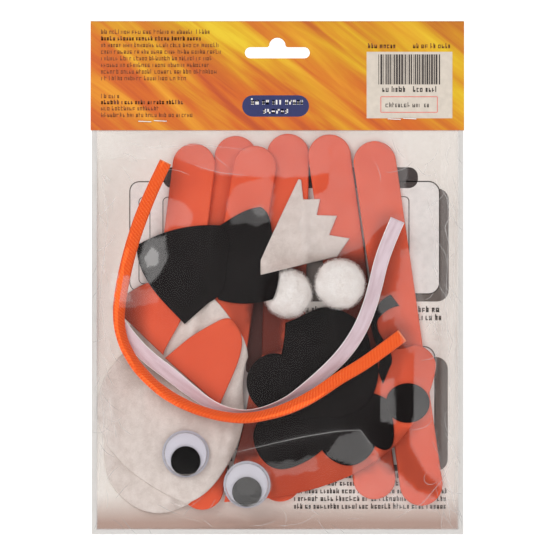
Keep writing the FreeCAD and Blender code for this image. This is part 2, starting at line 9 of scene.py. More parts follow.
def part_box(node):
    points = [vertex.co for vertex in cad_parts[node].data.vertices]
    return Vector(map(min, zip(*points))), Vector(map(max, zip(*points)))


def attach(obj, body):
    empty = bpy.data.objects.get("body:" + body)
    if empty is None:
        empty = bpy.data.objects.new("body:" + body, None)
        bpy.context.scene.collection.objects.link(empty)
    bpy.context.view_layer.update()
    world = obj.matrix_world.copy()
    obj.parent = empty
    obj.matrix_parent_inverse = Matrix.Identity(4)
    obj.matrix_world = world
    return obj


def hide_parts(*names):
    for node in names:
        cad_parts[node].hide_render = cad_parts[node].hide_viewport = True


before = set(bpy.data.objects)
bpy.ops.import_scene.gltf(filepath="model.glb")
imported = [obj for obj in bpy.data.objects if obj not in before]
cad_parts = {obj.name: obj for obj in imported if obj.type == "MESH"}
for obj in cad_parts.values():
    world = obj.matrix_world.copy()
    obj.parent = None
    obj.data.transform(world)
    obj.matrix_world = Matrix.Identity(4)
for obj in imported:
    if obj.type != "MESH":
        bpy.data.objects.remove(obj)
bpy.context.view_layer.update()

# Lengths below are in millimetres unless a name says otherwise. A "height" is a distance from
# the plane where the bag's two films meet, towards the camera, so it is -y.
MM = 0.001
RNG = np.random.default_rng(11)

# ------------------------------------------------------------------ shader nodes

def linear(red, green, blue):
    """A display colour, 0 to 255, as linear values."""
    values = [channel / 255 for channel in (red, green, blue)]
    return tuple(v / 12.92 if v <= 0.04045 else ((v + 0.055) / 1.055) ** 2.4 for v in values)


def connect(tree, socket, value):
    """Links a socket to another node's output, or sets its value."""
    if hasattr(value, "is_linked"):
        tree.links.new(value, socket)
    else:
        socket.default_value = (*value[:3], 1) if socket.type == "RGBA" else value


def fill(tree, node, **values):
    """Connects a node's inputs by name, with _ for a space."""
    for name, value in values.items():
        connect(tree, node.inputs[name.replace("_", " ")], value)
    return node


def add_node(tree, kind, **values):
    return fill(tree, tree.nodes.new("ShaderNode" + kind), **values)


def new_material(name, roughness=0.8, specular=0.3, sheen=0.0):
    material = bpy.data.materials.new(name)
    material.use_nodes = True
    tree = material.node_tree
    shader = fill(tree, tree.nodes["Principled BSDF"], Roughness=roughness, Specular_IOR_Level=specular)
    if sheen:
        fill(tree, shader, Sheen_Weight=sheen, Sheen_Roughness=0.4)
    return material, tree, shader


def stored(tree, name, output="Fac"):
    """What a piece's points keep under a name."""
    node = tree.nodes.new("ShaderNodeAttribute")
    node.attribute_name = name
    return node.outputs[output]


def coordinates(tree, scale=(1.0, 1.0, 1.0), turn=(0.0, 0.0, 0.0), attribute=None):
    """Object coordinates, or a stored attribute, turned and then scaled."""
    if attribute:
        output = stored(tree, attribute, "Vector")
    else:
        output = add_node(tree, "TexCoord").outputs["Object"]
    for values in ({"Rotation": turn}, {"Scale": scale}):
        output = add_node(tree, "Mapping", Vector=output, **values).outputs["Vector"]
    return output


def noise_node(tree, vector, scale, detail=3.0, roughness=0.55, distortion=0.0):
    return add_node(tree, "TexNoise", Vector=vector, Scale=scale, Detail=detail, Roughness=roughness,
                    Distortion=distortion).outputs["Fac"]


def ramp(tree, value, stops):
    node = add_node(tree, "ValToRGB", Fac=value)
    elements = node.color_ramp.elements
    while len(elements) < len(stops):
        elements.new(0.5)
    for element, (place, colour) in zip(elements, stops):
        element.position = place
        element.color = (*colour, 1)
    return node.outputs["Color"]


def mix_colour(tree, factor, first, second, blend="MIX"):
    node = tree.nodes.new("ShaderNodeMix")
    node.data_type = "RGBA"
    node.blend_type = blend
    for index, value in ((0, factor), (6, first), (7, second)):
        connect(tree, node.inputs[index], value)
    return node.outputs[2]


def calculate(tree, operation, first, second=None, clamp=False):
    node = tree.nodes.new("ShaderNodeMath")
    node.operation = operation
    node.use_clamp = clamp
    for socket, value in zip(node.inputs, (first, second)):
        if value is not None:
            connect(tree, socket, value)
    return node.outputs[0]


def blended(tree, first, share, second):
    """A share of the first value and the rest of the second."""
    return calculate(tree, "ADD", calculate(tree, "MULTIPLY", first, share),
                     calculate(tree, "MULTIPLY", second, round(1 - share, 6)))


def axes(tree, vector):
    """A vector's parts, by the name of their axis."""
    return add_node(tree, "SeparateXYZ", Vector=vector).outputs


def bump(tree, shader, height, strength, distance_mm):
    node = add_node(tree, "Bump", Strength=strength, Distance=distance_mm * MM, Height=height)
    fill(tree, shader, Normal=node.outputs["Normal"])


# ------------------------------------------------------------------ camera, backdrop, lights

CAMERA_LENS = 250.0
SENSOR = 36.0
VIEW_WIDTH = 279.4
VIEW_CENTRE = (-1.2, -116.3)
CAMERA_Y = -VIEW_WIDTH * CAMERA_LENS / SENSOR - 3.0


def make_camera():
    data = bpy.data.cameras.new("camera")
    data.lens = CAMERA_LENS
    data.sensor_width = SENSOR
    camera = bpy.data.objects.new("camera", data)
    camera.location = (VIEW_CENTRE[0] * MM, CAMERA_Y * MM, VIEW_CENTRE[1] * MM)
    camera.rotation_euler = (math.radians(90), 0, 0)
    bpy.context.scene.collection.objects.link(camera)
    bpy.context.scene.camera = camera


def area_light(name, place, size, power, target=(0.0, 0.0, -0.12)):
    data = bpy.data.lights.new(name, "AREA")
    data.shape = "RECTANGLE"
    data.size, data.size_y = size
    data.energy = power
    light = bpy.data.objects.new(name, data)
    light.location = place
    light.rotation_euler = (Vector(target) - Vector(place)).to_track_quat("-Z", "Y").to_euler()
    bpy.context.scene.collection.objects.link(light)


def make_backdrop():
    """A pale floor that curves up into a wall behind the pack."""
    floor, wall, bend, half = -0.34, 2.75, 0.60, 3.0
    profile = [(-2.4, floor), (wall - bend, floor)]
    for step in range(1, 13):
        turn = math.pi / 2 * step / 12
        profile.append((wall - bend + bend * math.sin(turn), floor + bend - bend * math.cos(turn)))
    profile.append((wall, 2.6))
    points = [(x, y, z) for x in (-half, half) for y, z in profile]
    count = len(profile)
    faces = [(i, i + 1, count + i + 1, count + i) for i in range(count - 1)]
    mesh = bpy.data.meshes.new("backdrop")
    mesh.from_pydata(points, [], faces)
    mesh.polygons.foreach_set("use_smooth", [True] * len(mesh.polygons))
    backdrop = bpy.data.objects.new("backdrop", mesh)
    bpy.context.scene.collection.objects.link(backdrop)
    material, tree, shader = new_material("backdrop_white", 0.9, 0.5)
    fill(tree, shader, Base_Color=(0.93, 0.93, 0.93), Emission_Color=(1, 1, 1), Emission_Strength=0.42)
    mesh.materials.append(material)


def make_lights():
    area_light("key", (-0.75, -1.10, 0.55), (0.8, 0.8), 10.4)
    area_light("fill", (0.95, -1.00, -0.05), (0.9, 1.2), 5.2)
    area_light("back", (0.3, 0.55, 0.9), (1.4, 0.8), 1.5, (0.0, 0.3, -0.2))
    world = bpy.data.worlds.new("studio")
    bpy.context.scene.world = world
    world.use_nodes = True
    fill(world.node_tree, world.node_tree.nodes["Background"], Color=(1, 1, 1), Strength=0.5)
    bpy.context.scene.view_settings.view_transform = "Standard"


# ------------------------------------------------------------------ materials

def shaded(tree, colour, shade_tint):
    """Painted shade: a colour that darkens where the stored depth says that other pieces stand round it."""
    dimmed = mix_colour(tree, 1.0, colour, shade_tint, "MULTIPLY")
    return mix_colour(tree, stored(tree, "depth"), colour, dimmed)


def foam_material(name, colour, dark):
    """EVA foam: fine closed cells, a soft mottle, and darker specks."""
    material, tree, shader = new_material(name, roughness=0.72, specular=0.28)
    place = coordinates(tree)
    mottle = noise_node(tree, place, 45.0, 3.0)
    cells = noise_node(tree, place, 2600.0, 2.0)
    # Painted shade: the foam's colour darkens where it lies deep among other pieces.
    base = shaded(tree, ramp(tree, mottle, [(0.3, dark), (0.7, colour)]), (0.16, 0.16, 0.20))
    specks = ramp(tree, cells, [(0.30, (0.72, 0.72, 0.72)), (0.48, (1.0, 1.0, 1.0))])
    fill(tree, shader, Base_Color=mix_colour(tree, 0.35, base, specks, "MULTIPLY"))
    fill(tree, shader, Subsurface_Weight=0.12, Subsurface_Radius=(0.0012, 0.0005, 0.0003))
    bump(tree, shader, cells, 0.25, 0.15)
    return material


def felt_material(name, light, dark, lint, sheen=0.35, relief=0.3):
    """Pressed felt: tangled fibres in all directions, with lighter lint."""
    material, tree, shader = new_material(name, roughness=1.0, specular=0.06, sheen=sheen)
    place = coordinates(tree)
    stretched = coordinates(tree, (1.0, 1.0, 3.2), (0.0, 0.5, 0.0))
    crossed = coordinates(tree, (3.0, 1.0, 1.0), (0.0, 0.9, 0.0))
    clumps = noise_node(tree, place, 210.0, 4.0, 0.65)
    first = noise_node(tree, stretched, 900.0, 3.0, 0.7, 0.6)
    second = noise_node(tree, crossed, 1100.0, 3.0, 0.7, 0.6)
    fibres = calculate(tree, "MAXIMUM", first, second)
    both = blended(tree, clumps, 0.45, fibres)
    base = ramp(tree, both, [(0.36, dark), (0.62, light)])
    hairs = ramp(tree, fibres, [(0.72, (0.0, 0.0, 0.0)), (0.84, (1.0, 1.0, 1.0))])
    # Painted shade: the felt's colour, lint and all, darkens where it lies deep among other pieces.
    base = shaded(tree, mix_colour(tree, hairs, base, lint), (0.62, 0.58, 0.56))
    fill(tree, shader, Base_Color=base)
    bump(tree, shader, both, relief, 0.25)
    return material


def plain_material(name, colour, roughness, specular=0.4, grain=0.06):
    """A smooth printed or moulded surface with a faint uneven tint."""
    material, tree, shader = new_material(name, roughness=roughness, specular=specular)
    mottle = noise_node(tree, coordinates(tree), 320.0, 4.0)
    darker = tuple(channel * (1 - grain * 2) for channel in colour)
    fill(tree, shader, Base_Color=ramp(tree, mottle, [(0.3, darker), (0.7, colour)]))
    bump(tree, shader, mottle, 0.06, 0.1)
    return material


def paper_material(name, light, dark):
    material, tree, shader = new_material(name, roughness=0.85, specular=0.2)
    place = coordinates(tree)
    pulp = noise_node(tree, place, 420.0, 5.0, 0.6)
    cloud = noise_node(tree, place, 14.0, 2.0)
    both = blended(tree, pulp, 0.4, cloud)
    parts = axes(tree, place)
    # Painted shade: the page turns a darker brown-grey along its bottom edge.
    low = calculate(tree, "MULTIPLY", calculate(tree, "ADD", parts["Z"], 0.228), -70.0, clamp=True)
    page = ramp(tree, both, [(0.35, dark), (0.65, light)])
    fill(tree, shader, Base_Color=mix_colour(tree, low, page, linear(188, 162, 150)))
    bump(tree, shader, pulp, 0.12, 0.12)
    return material


def header_material():
    """Gloss card printed with broad diagonal brush strokes from orange to yellow."""
    material, tree, shader = new_material("header_print", roughness=0.34, specular=0.45)
    slope = math.radians(38)
    long_strokes = coordinates(tree, (5.0, 1.0, 60.0), (0.0, -slope, 0.0))
    thin_strokes = coordinates(tree, (9.0, 1.0, 210.0), (0.0, -slope, 0.0))
    place = coordinates(tree)
    broad = noise_node(tree, long_strokes, 1.3, 4.0, 0.55, 0.9)
    thin = noise_node(tree, thin_strokes, 2.0, 3.0, 0.6, 0.5)
    strokes = blended(tree, broad, 0.86, thin)
    orange = ramp(tree, strokes, [
        (0.34, linear(182, 84, 36)), (0.44, linear(200, 104, 30)), (0.50, linear(204, 122, 32)),
        (0.56, linear(212, 138, 36)), (0.66, linear(222, 160, 46)),
    ])
    yellow = ramp(tree, strokes, [
        (0.34, linear(184, 110, 26)), (0.44, linear(196, 134, 22)), (0.50, linear(202, 152, 18)),
        (0.56, linear(208, 168, 22)), (0.66, linear(218, 190, 44)),
    ])
    parts = axes(tree, place)
    across = calculate(tree, "MULTIPLY", parts["X"], 6.0)
    upward = calculate(tree, "MULTIPLY", parts["Z"], 11.0)
    patches = noise_node(tree, coordinates(tree, (8.0, 1.0, 34.0), (0.0, -slope, 0.0)), 1.0, 2.0)
    patches = calculate(tree, "MULTIPLY", calculate(tree, "SUBTRACT", patches, 0.5), 3.4)
    side = calculate(tree, "ADD", calculate(tree, "ADD", across, upward), 0.42)
    side = calculate(tree, "ADD", side, patches, clamp=True)
    ink = add_node(tree, "Gamma", Gamma=1.13, Color=mix_colour(tree, side, orange, yellow))
    fill(tree, shader, Base_Color=ink.outputs["Color"])
    bump(tree, shader, noise_node(tree, place, 60.0, 3.0), 0.08, 0.3)
    return material


def film_material(name, index, tint_through=(0.85, 0.84, 0.84, 1)):
    """Clear film: see-through, glossy, and milky where the stored haze says that it stands off.
    The index and the tint are fitted to the look and aren't the plastic's own values."""
    material = bpy.data.materials.new(name)
    material.use_nodes = True
    tree = material.node_tree
    tree.nodes.clear()
    haze = stored(tree, "haze")
    tint = ramp(tree, haze, [(0.45, (0.82, 0.80, 0.79)), (0.75, (0.55, 0.53, 0.51))])
    uneven = noise_node(tree, coordinates(tree), 90.0, 3.0)
    streaks = calculate(tree, "ADD", calculate(tree, "MULTIPLY", uneven, 0.5), 0.75)
    crinkle = noise_node(tree, coordinates(tree), 110.0, 2.0, 0.4)
    gloss = add_node(tree, "BsdfGlossy", Roughness=0.16)
    bump(tree, gloss, crinkle, 0.25, 0.3)
    fresnel = add_node(tree, "Fresnel", IOR=index)
    bump(tree, fresnel, crinkle, 0.25, 0.3)
    body = add_node(tree, "MixShader", Fac=calculate(tree, "MULTIPLY", haze, streaks, clamp=True))
    surface = add_node(tree, "MixShader", Fac=fresnel.outputs["Fac"])
    for mixed, first, second in (
            (body, add_node(tree, "BsdfTransparent", Color=tint_through),
             add_node(tree, "BsdfDiffuse", Color=tint)),
            (surface, body, gloss)):
        tree.links.new(first.outputs[0], mixed.inputs[1])
        tree.links.new(second.outputs[0], mixed.inputs[2])
    tree.links.new(surface.outputs[0], tree.nodes.new("ShaderNodeOutputMaterial").inputs["Surface"])
    return material


# ------------------------------------------------------------------ heights of what lies in the bag

STEP = 1.0
bag_low, bag_high = (np.array(corner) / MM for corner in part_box("bag_near_film"))
GRID_X = np.arange(bag_low[0], bag_high[0] + STEP / 2, STEP)
GRID_Z = np.arange(bag_low[2], bag_high[2] + STEP / 2, STEP)
MESH_X, MESH_Z = np.meshgrid(GRID_X, GRID_Z)
GRID_POINTS = np.column_stack([MESH_X.ravel(), MESH_Z.ravel()])
support = np.zeros(MESH_X.shape)


def sample(field, points):
    """A grid field's value at (x, z) points."""
    columns = np.clip((points[:, 0] - GRID_X[0]) / STEP, 0, len(GRID_X) - 1.001)
    rows = np.clip((points[:, 1] - GRID_Z[0]) / STEP, 0, len(GRID_Z) - 1.001)
    i, j = rows.astype(int), columns.astype(int)
    v, u = rows - i, columns - j
    low = field[i, j] * (1 - u) + field[i, j + 1] * u
    high = field[i + 1, j] * (1 - u) + field[i + 1, j + 1] * u
    return low * (1 - v) + high * v


def neighbours(field, mask):
    """The average of each cell and those of its four neighbours that are in the mask."""
    weight = mask.astype(float)
    total = field * weight
    count = weight.copy()
    for axis in (0, 1):
        for shift in (1, -1):
            moved = np.roll(weight, shift, axis)
            total += np.roll(field * weight, shift, axis)
            count += moved
    return np.where(count > 0, total / np.maximum(count, 1e-9), field)


def settle(under, mask, stiffness):
    """The underside of a flexible piece laid on what is under it: it touches the high places and
    spans the low ones, over a distance that grows with its stiffness."""
    lying = under.copy()
    for _ in range(stiffness):
        lying = np.where(mask, np.maximum(under, neighbours(lying, mask)), lying)
    return lying


def inside(outline, points):
    """Which points lie inside a closed outline."""
    hit = np.zeros(len(points), bool)
    x, z = points[:, 0], points[:, 1]
    for (xa, za), (xb, zb) in zip(outline, np.roll(outline, -1, axis=0)):
        crosses = (za > z) != (zb > z)
        if za != zb:
            hit ^= crosses & (x < (xb - xa) * (z - za) / (zb - za) + xa)
    return hit


def path_distance(path, points):
    """Each point's distance from the nearest part of a path."""
    path = np.array(path, float)
    best = np.full(len(points), 1e9)
    for start, end in zip(path[:-1], path[1:]):
        along = end - start
        share = np.clip(((points - start) @ along) / max(along @ along, 1e-12), 0, 1)
        away = points - (start + share[:, None] * along)
        best = np.minimum(best, np.hypot(away[:, 0], away[:, 1]))
    return best


def edge_distance(outline, points):
    """Each point's distance from the nearest side of a closed outline."""
    return path_distance(np.vstack([outline, outline[:1]]), points)


def resample(outline, spacing):
    """Points along a closed outline, evenly spaced on each side and keeping its corners."""
    points = []
    for start, end in zip(outline, np.roll(outline, -1, axis=0)):
        length = np.hypot(*(end - start))
        count = max(1, int(math.ceil(length / spacing)))
        points.extend(start + (end - start) * step / count for step in range(count))
    return np.array(points)


def outline_of(node):
    """The outline of a flat CAD piece, from the rim of its near face."""
    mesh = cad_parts[node].data
    places = np.array([vertex.co for vertex in mesh.vertices]) / MM
    near = places[:, 1].min()
    keys = [tuple(np.round(place, 3)) for place in places]
    uses = {}
    for polygon in mesh.polygons:
        ring = [keys[index] for index in polygon.vertices]
        if all(abs(key[1] - near) < 0.01 for key in ring):
            for first, second in zip(ring, ring[1:] + ring[:1]):
                uses.setdefault(frozenset((first, second)), []).append((first, second))
    following = dict(edge[0] for edge in uses.values() if len(edge) == 1)
    start = next(iter(following))
    ring, point = [start], following[start]
    while point != start:
        ring.append(point)
        point = following[point]
    outline = np.array([(key[0], key[2]) for key in ring])
    keep = np.hypot(*(outline - np.roll(outline, 1, axis=0)).T) > 0.02
    return outline[keep]


# ------------------------------------------------------------------ pieces

LAID = []

# Places deep between the pieces, where little light reaches and shade is painted: an amount and an outline as
# (x, z).
PAINTED_SHADE_PLACES = [
    (1.0, [(-14.5, -127), (3.6, -127), (3.2, -157), (-9, -158), (-14.6, -150)]),
    (1.0, [(-18, -189), (-7, -189), (-10, -200), (-8.5, -208), (-17, -212), (-26, -209)]),
    (0.5, [(60, -196), (67.4, -194), (67.4, -203), (74.5, -215.4), (83, -224.5), (80.6, -229),
           (70.5, -225.6), (61.3, -216.4)]),
    (0.7, [(50, -208), (60, -196), (62, -216), (57, -218)]),
    (0.4, [(-6, -209), (45, -206), (52, -214), (20, -227), (-4, -232)]),
    (0.5, [(-30, -127), (-14, -127), (-15, -150), (-24, -138)]),
    (0.3, [(46, -150), (64, -153), (62, -172), (50, -168)]),
]


def store_painted_shade():
    """Keeps on each laid piece how much painted shade it gets, from 0 to 1: how deep it lies among its
    neighbours, and the listed places of painted shade.
    """
    around = film_floor.copy()
    everywhere = np.ones(around.shape, bool)
    for _ in range(110):
        around = neighbours(around, everywhere)
    for piece, places, top in LAID:
        deep = np.clip((sample(around, places) - top - 0.6) / 5.5, 0, 1)
        for amount, outline in PAINTED_SHADE_PLACES:
            outline = np.array(outline, float)
            within = edge_distance(outline, places) * np.where(inside(outline, places), 1, -1)
            deep = np.maximum(deep, amount * smooth_step(within, -1.5, 1.5))
        store(piece, "depth", [deep, deep])


def new_object(name, points, faces, material, smooth=True):
    mesh = bpy.data.meshes.new(name)
    mesh.from_pydata([tuple(float(v) * MM for v in point) for point in points], [], faces)
    mesh.polygons.foreach_set("use_smooth", [smooth] * len(mesh.polygons))
    mesh.materials.append(material)
    mesh.validate()
    piece = bpy.data.objects.new(name, mesh)
    bpy.context.scene.collection.objects.link(piece)
    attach(piece, "pack")
    return piece


def store(piece, name, values, kind="FLOAT"):
    """Keeps a value or a vector for each point of a piece, for its material to read."""
    layer = piece.data.attributes.new(name, kind, "POINT")
    layer.data.foreach_set("value" if kind == "FLOAT" else "vector", np.ravel(values).astype(np.float32))


def tube_faces(rings, sides):
    """Quads between rings of points that follow each other round a tube or shell."""
    return [(ring * sides + side, ring * sides + (side + 1) % sides,
             (ring + 1) * sides + (side + 1) % sides, (ring + 1) * sides + side)
            for ring in range(rings - 1) for side in range(sides)]


def raise_film(over, top):
    """Lifts the heights that the film lies over to a rounded top, where over is below 1."""
    film_floor[over < 1] = np.maximum(film_floor, top)[over < 1]


def plate_mesh(outline, spacing, rings):
    """Triangles that fill an outline, with rows of points just inside its edge."""
    rim = resample(outline, spacing * 0.55)
    forward = np.roll(rim, -1, axis=0) - np.roll(rim, 1, axis=0)
    area = np.sum(rim[:, 0] * np.roll(rim[:, 1], -1) - np.roll(rim[:, 0], -1) * rim[:, 1])
    inward = np.column_stack([-forward[:, 1], forward[:, 0]]) * np.sign(area)
    inward /= np.maximum(np.hypot(*inward.T), 1e-9)[:, None]
    inner = []
    for distance in rings:
        row = rim + inward * distance
        inner.append(row[inside(outline, row) & (edge_distance(outline, row) > 0.85 * distance)])
    low, high = outline.min(axis=0), outline.max(axis=0)
    columns, rows = np.meshgrid(np.arange(low[0], high[0], spacing), np.arange(low[1], high[1], spacing))
    columns[::2] += spacing / 2
    field = np.column_stack([columns.ravel(), rows.ravel()])
    field = field[inside(outline, field)]
    inner.append(field[edge_distance(outline, field) > rings[-1] + 0.5 * spacing])
    points = np.vstack([rim] + inner)
    count = len(rim)
    edges = [(index, (index + 1) % count) for index in range(count)]
    found = delaunay_2d_cdt([Vector(point) for point in points], edges, [], 1, 1e-5)
    places = np.array([tuple(point) for point in found[0]])
    return places, [tuple(face) for face in found[2]]


# What shows from the front at each place, kept as each piece is laid.
resting = np.full(support.shape, "bag_far_film", dtype="U32")


def declare(foam):
    """Takes whether a piece is foam, and does nothing with it."""
    if foam:
        return


LYING_GAP = 0.06
SHEET_TOP = -41.4  # the paper runs up under the card's lower edge


def plate(name, node, stiffness, thickness, material, spacing=2.0, rounding=0.7):
    """A piece cut from sheet stock and laid on what is already in the bag."""
    outline = outline_of(node)
    near = edge_distance(outline, GRID_POINTS).reshape(support.shape)
    cover = inside(outline, GRID_POINTS).reshape(support.shape)
    under = settle(support + LYING_GAP, cover | (near < 2.5), stiffness)
    if node == "instruction_sheet":
        outline[:, 1] = np.where(outline[:, 1] > -50, SHEET_TOP, outline[:, 1])
    places, faces = plate_mesh(outline, spacing, (0.3, rounding))
    rim_distance = edge_distance(outline, places)
    rise = np.clip(rim_distance / rounding, 0, 1)
    curve = np.sqrt(1 - (1 - rise) ** 2)
    bottom = sample(under, places)
    top = bottom + thickness * (0.62 + 0.38 * curve)
    bottom = bottom + thickness * 0.22 * (1 - curve)
    count = len(places)
    points = [(x, -h, z) for (x, z), h in zip(places, top)]
    points += [(x, -h, z) for (x, z), h in zip(places, bottom)]
    uses = {}
    for face in faces:
        for first, second in zip(face, face[1:] + face[:1]):
            uses.setdefault(frozenset((first, second)), []).append((first, second))
    sides = [(second, first, first + count, second + count)
             for (first, second), *more in uses.values() if not more]
    under_faces = [tuple(index + count for index in reversed(face)) for face in faces]
    piece = new_object(name, points, faces + under_faces + sides, material)
    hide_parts(node)
    declare(material == orange_foam)
    resting[cover] = name
    LAID.append((piece, places, top))
    np.maximum(support, np.where(cover, under + thickness, 0), out=support)


# ------------------------------------------------------------------ string and ribbon

STRING_ROUTE = [
    (-56.4, -59.2), (-62.4, -71.6), (-68.7, -86.6), (-73.4, -100.6), (-76.9, -114.3),
    (-79.4, -127.6), (-80.3, -139.6), (-77.9, -150.8), (-71.9, -161.6), (-61.6, -172.7),
    (-48.4, -181.2), (-34.6, -186.4), (-21.6, -188.7), (-10.2, -188.1), (0.8, -185.3),
    (11.6, -181.0), (21.4, -175.3), (31.2, -168.3), (42.4, -162.0), (53.2, -154.2), (63.1, -146.8),
]
RIBBON_ROUTE = [
    (60.8, -88.4), (56.0, -99.4), (52.2, -110.2), (49.7, -121.2), (46.6, -132.6), (41.6, -144.6),
    (34.4, -155.4), (25.6, -164.4), (15.2, -172.6), (3.4, -180.2), (-9.6, -184.9), (-22.6, -185.6),
    (-34.0, -182.0), (-44.4, -174.4), (-54.6, -166.0), (-64.6, -158.6), (-73.0, -150.4),
    (-79.4, -142.0),
]


def smooth_line(name, route, height):
    """Points along the smooth line that a route's points steer."""
    curve = bpy.data.curves.new(name, "CURVE")
    curve.dimensions = "3D"
    curve.resolution_u = 10
    spline = curve.splines.new("NURBS")
    spline.points.add(len(route) - 1)
    for point, (x, z) in zip(spline.points, route):
        point.co = (x * MM, -height * MM, z * MM, 1)
    spline.order_u = 3
    spline.use_endpoint_u = True
    holder = bpy.data.objects.new(name, curve)
    bpy.context.scene.collection.objects.link(holder)
    mesh = bpy.data.meshes.new_from_object(holder)
    line = np.array([vertex.co for vertex in mesh.vertices]) / MM
    bpy.data.objects.remove(holder)
    bpy.data.meshes.remove(mesh)
    return line


def strip(name, node, line, half_width, half_thickness, rolls, material, sides, lumps=0.0):
    """A flat strip along a line. Its rolls are (share of the length, degrees turned about the
    line, scale of the width), and 0 degrees faces the camera."""
    step = np.hypot(*np.diff(line, axis=0).T[[0, 2]])
    along = np.concatenate([[0], np.cumsum(step)])
    share = along / along[-1]
    roll = np.radians(np.interp(share, [r[0] for r in rolls], [r[1] for r in rolls]))
    width = np.interp(share, [r[0] for r in rolls], [r[2] for r in rolls])
    for _ in range(6):
        roll[1:-1] = (roll[:-2] + 2 * roll[1:-1] + roll[2:]) / 4
        width[1:-1] = (width[:-2] + 2 * width[1:-1] + width[2:]) / 4
    points, marks = [], []
    for index, place in enumerate(line):
        ahead = line[min(index + 1, len(line) - 1)] - line[max(index - 1, 0)]
        ahead /= np.linalg.norm(ahead)
        near = np.array([0.0, -1.0, 0.0])
        across = np.cross(ahead, near)
        side = across * math.cos(roll[index]) + near * math.sin(roll[index])
        front = near * math.cos(roll[index]) - across * math.sin(roll[index])
        for number in range(sides):
            turn = 2 * math.pi * number / sides
            c, s = math.cos(turn), math.sin(turn)
            u = math.copysign(abs(c) ** 0.8, c) * half_width * width[index]
            v = math.copysign(abs(s) ** 0.55, s) * half_thickness
            if lumps:
                v += lumps * noise.noise(Vector((along[index] / 9, c * 1.5, 3.0)))
            points.append(place + side * u + front * v)
            marks.append((along[index], c * half_width, s * half_thickness))
    faces = tube_faces(len(line), sides)
    faces.append(tuple(range(sides)))
    faces.append(tuple(reversed(range(len(points) - sides, len(points)))))
    piece = new_object(name, points, faces, material)
    store(piece, "strip", marks, "FLOAT_VECTOR")
    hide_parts(node)
    cover_tube(line, np.maximum(half_width * np.cos(roll), half_thickness) * width,
               np.maximum(half_width * np.abs(np.sin(roll)), half_thickness))


def cover_tube(line, reach, rise):
    """Marks the tops of a tube or strip in the heights that the film lies over."""
    for place, wide, high in zip(line, reach, rise):
        near = np.hypot(MESH_X - place[0], MESH_Z - place[2]) <= wide + 0.3
        film_floor[near] = np.maximum(film_floor[near], -place[1] + high)


def string_material():
    """Orange craft cord: close slanting ribs across it, and a paler pith at its cut ends."""
    material, tree, shader = new_material("orange_string", roughness=0.8, specular=0.25, sheen=0.25)
    place = coordinates(tree, attribute="strip")
    parts = axes(tree, place)
    slant = calculate(tree, "ADD", parts["X"], calculate(tree, "MULTIPLY", parts["Y"], 0.7))
    wander = noise_node(tree, place, 0.6, 3.0)
    phase = calculate(tree, "ADD", calculate(tree, "MULTIPLY", slant, 3.6),
                      calculate(tree, "MULTIPLY", wander, 4.0))
    ribs = calculate(tree, "ADD", calculate(tree, "MULTIPLY", calculate(tree, "SINE", phase), 0.5), 0.5)
    fuzz = noise_node(tree, place, 3.2, 4.0, 0.7)
    both = blended(tree, ribs, 0.22, fuzz)
    near_end = calculate(tree, "LESS_THAN", parts["X"], 0.6)
    far_end = calculate(tree, "GREATER_THAN", parts["X"], 262.0)
    cut = calculate(tree, "MULTIPLY", calculate(tree, "ADD", near_end, far_end), 0.45)
    colour = ramp(tree, both, [
        (0.25, linear(232, 74, 22)), (0.5, linear(252, 98, 34)), (0.75, linear(255, 128, 62)),
    ])
    fill(tree, shader, Base_Color=mix_colour(tree, cut, colour, linear(250, 176, 130)))
    bump(tree, shader, both, 0.5, 0.35)
    return material


def ribbon_material():
    """White satin: fine threads along it and a bright woven edge."""
    material, tree, shader = new_material("white_ribbon", roughness=0.38, specular=0.5, sheen=0.2)
    place = coordinates(tree, attribute="strip")
    parts = axes(tree, place)
    threads = noise_node(tree, coordinates(tree, (0.3, 3.2, 1.0), attribute="strip"), 1.0, 2.0)
    cloud = noise_node(tree, coordinates(tree, (0.06, 0.5, 1.0), attribute="strip"), 1.0, 2.0)
    both = blended(tree, threads, 0.1, cloud)
    body = ramp(tree, both, [(0.35, linear(214, 190, 198)), (0.65, linear(232, 214, 222))])
    edge = calculate(tree, "GREATER_THAN", calculate(tree, "ABSOLUTE", parts["Y"]), 3.3)
    fill(tree, shader, Base_Color=mix_colour(tree, edge, body, linear(250, 247, 246)))
    bump(tree, shader, threads, 0.06, 0.1)
    return material


# ------------------------------------------------------------------ pom-poms and eyes

FIBRES = 5200


def pom_pom(name, node, centre, radius, depth, material):
    """A ball of short cotton-like fibres: a lumpy core under thousands of fine curved hairs."""
    centre = np.array(centre)
    points = []
    rings, sides = 22, 40
    for ring in range(rings + 1):
        tilt = math.pi * ring / rings
        for side in range(sides):
            turn = 2 * math.pi * side / sides
            way = np.array([math.sin(tilt) * math.cos(turn), math.cos(tilt), math.sin(tilt) * math.sin(turn)])
            lump = 0.90 + 0.05 * noise.noise(Vector(way * 2.3 + centre)) + 0.03 * noise.noise(Vector(way * 7))
            points.append(centre + way * np.array([radius, depth, radius]) * lump)
    faces = tube_faces(rings + 1, sides)
    for _ in range(FIBRES):
        way = RNG.normal(size=3)
        way /= np.linalg.norm(way)
        root = centre + way * np.array([radius, depth, radius]) * (0.86 + 0.06 * RNG.random())
        lean = np.cross(way, RNG.normal(size=3))
        lean /= np.linalg.norm(lean)
        thin = np.cross(way, lean) * 0.055
        out, drift = 0.9 + 0.9 * RNG.random(), 1.6 + 2.0 * RNG.random()
        first = len(points)
        for share in (0.0, 0.4, 0.75, 1.0):
            place = root + way * out * (share - 0.45 * share ** 2) * 1.3 + lean * drift * share ** 1.4
            taper = 1.0 - 0.75 * share
            points.extend((place - thin * taper, place + thin * taper))
        for step in range(3):
            a = first + 2 * step
            faces.append((a, a + 1, a + 3, a + 2))
    piece = new_object(name, points, faces, material)
    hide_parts(node)
    over = ((MESH_X - centre[0]) ** 2 + (MESH_Z - centre[2]) ** 2) / radius ** 2
    top = -centre[1] + depth * np.sqrt(np.clip(1 - over, 0, 1))
    raise_film(over, top)


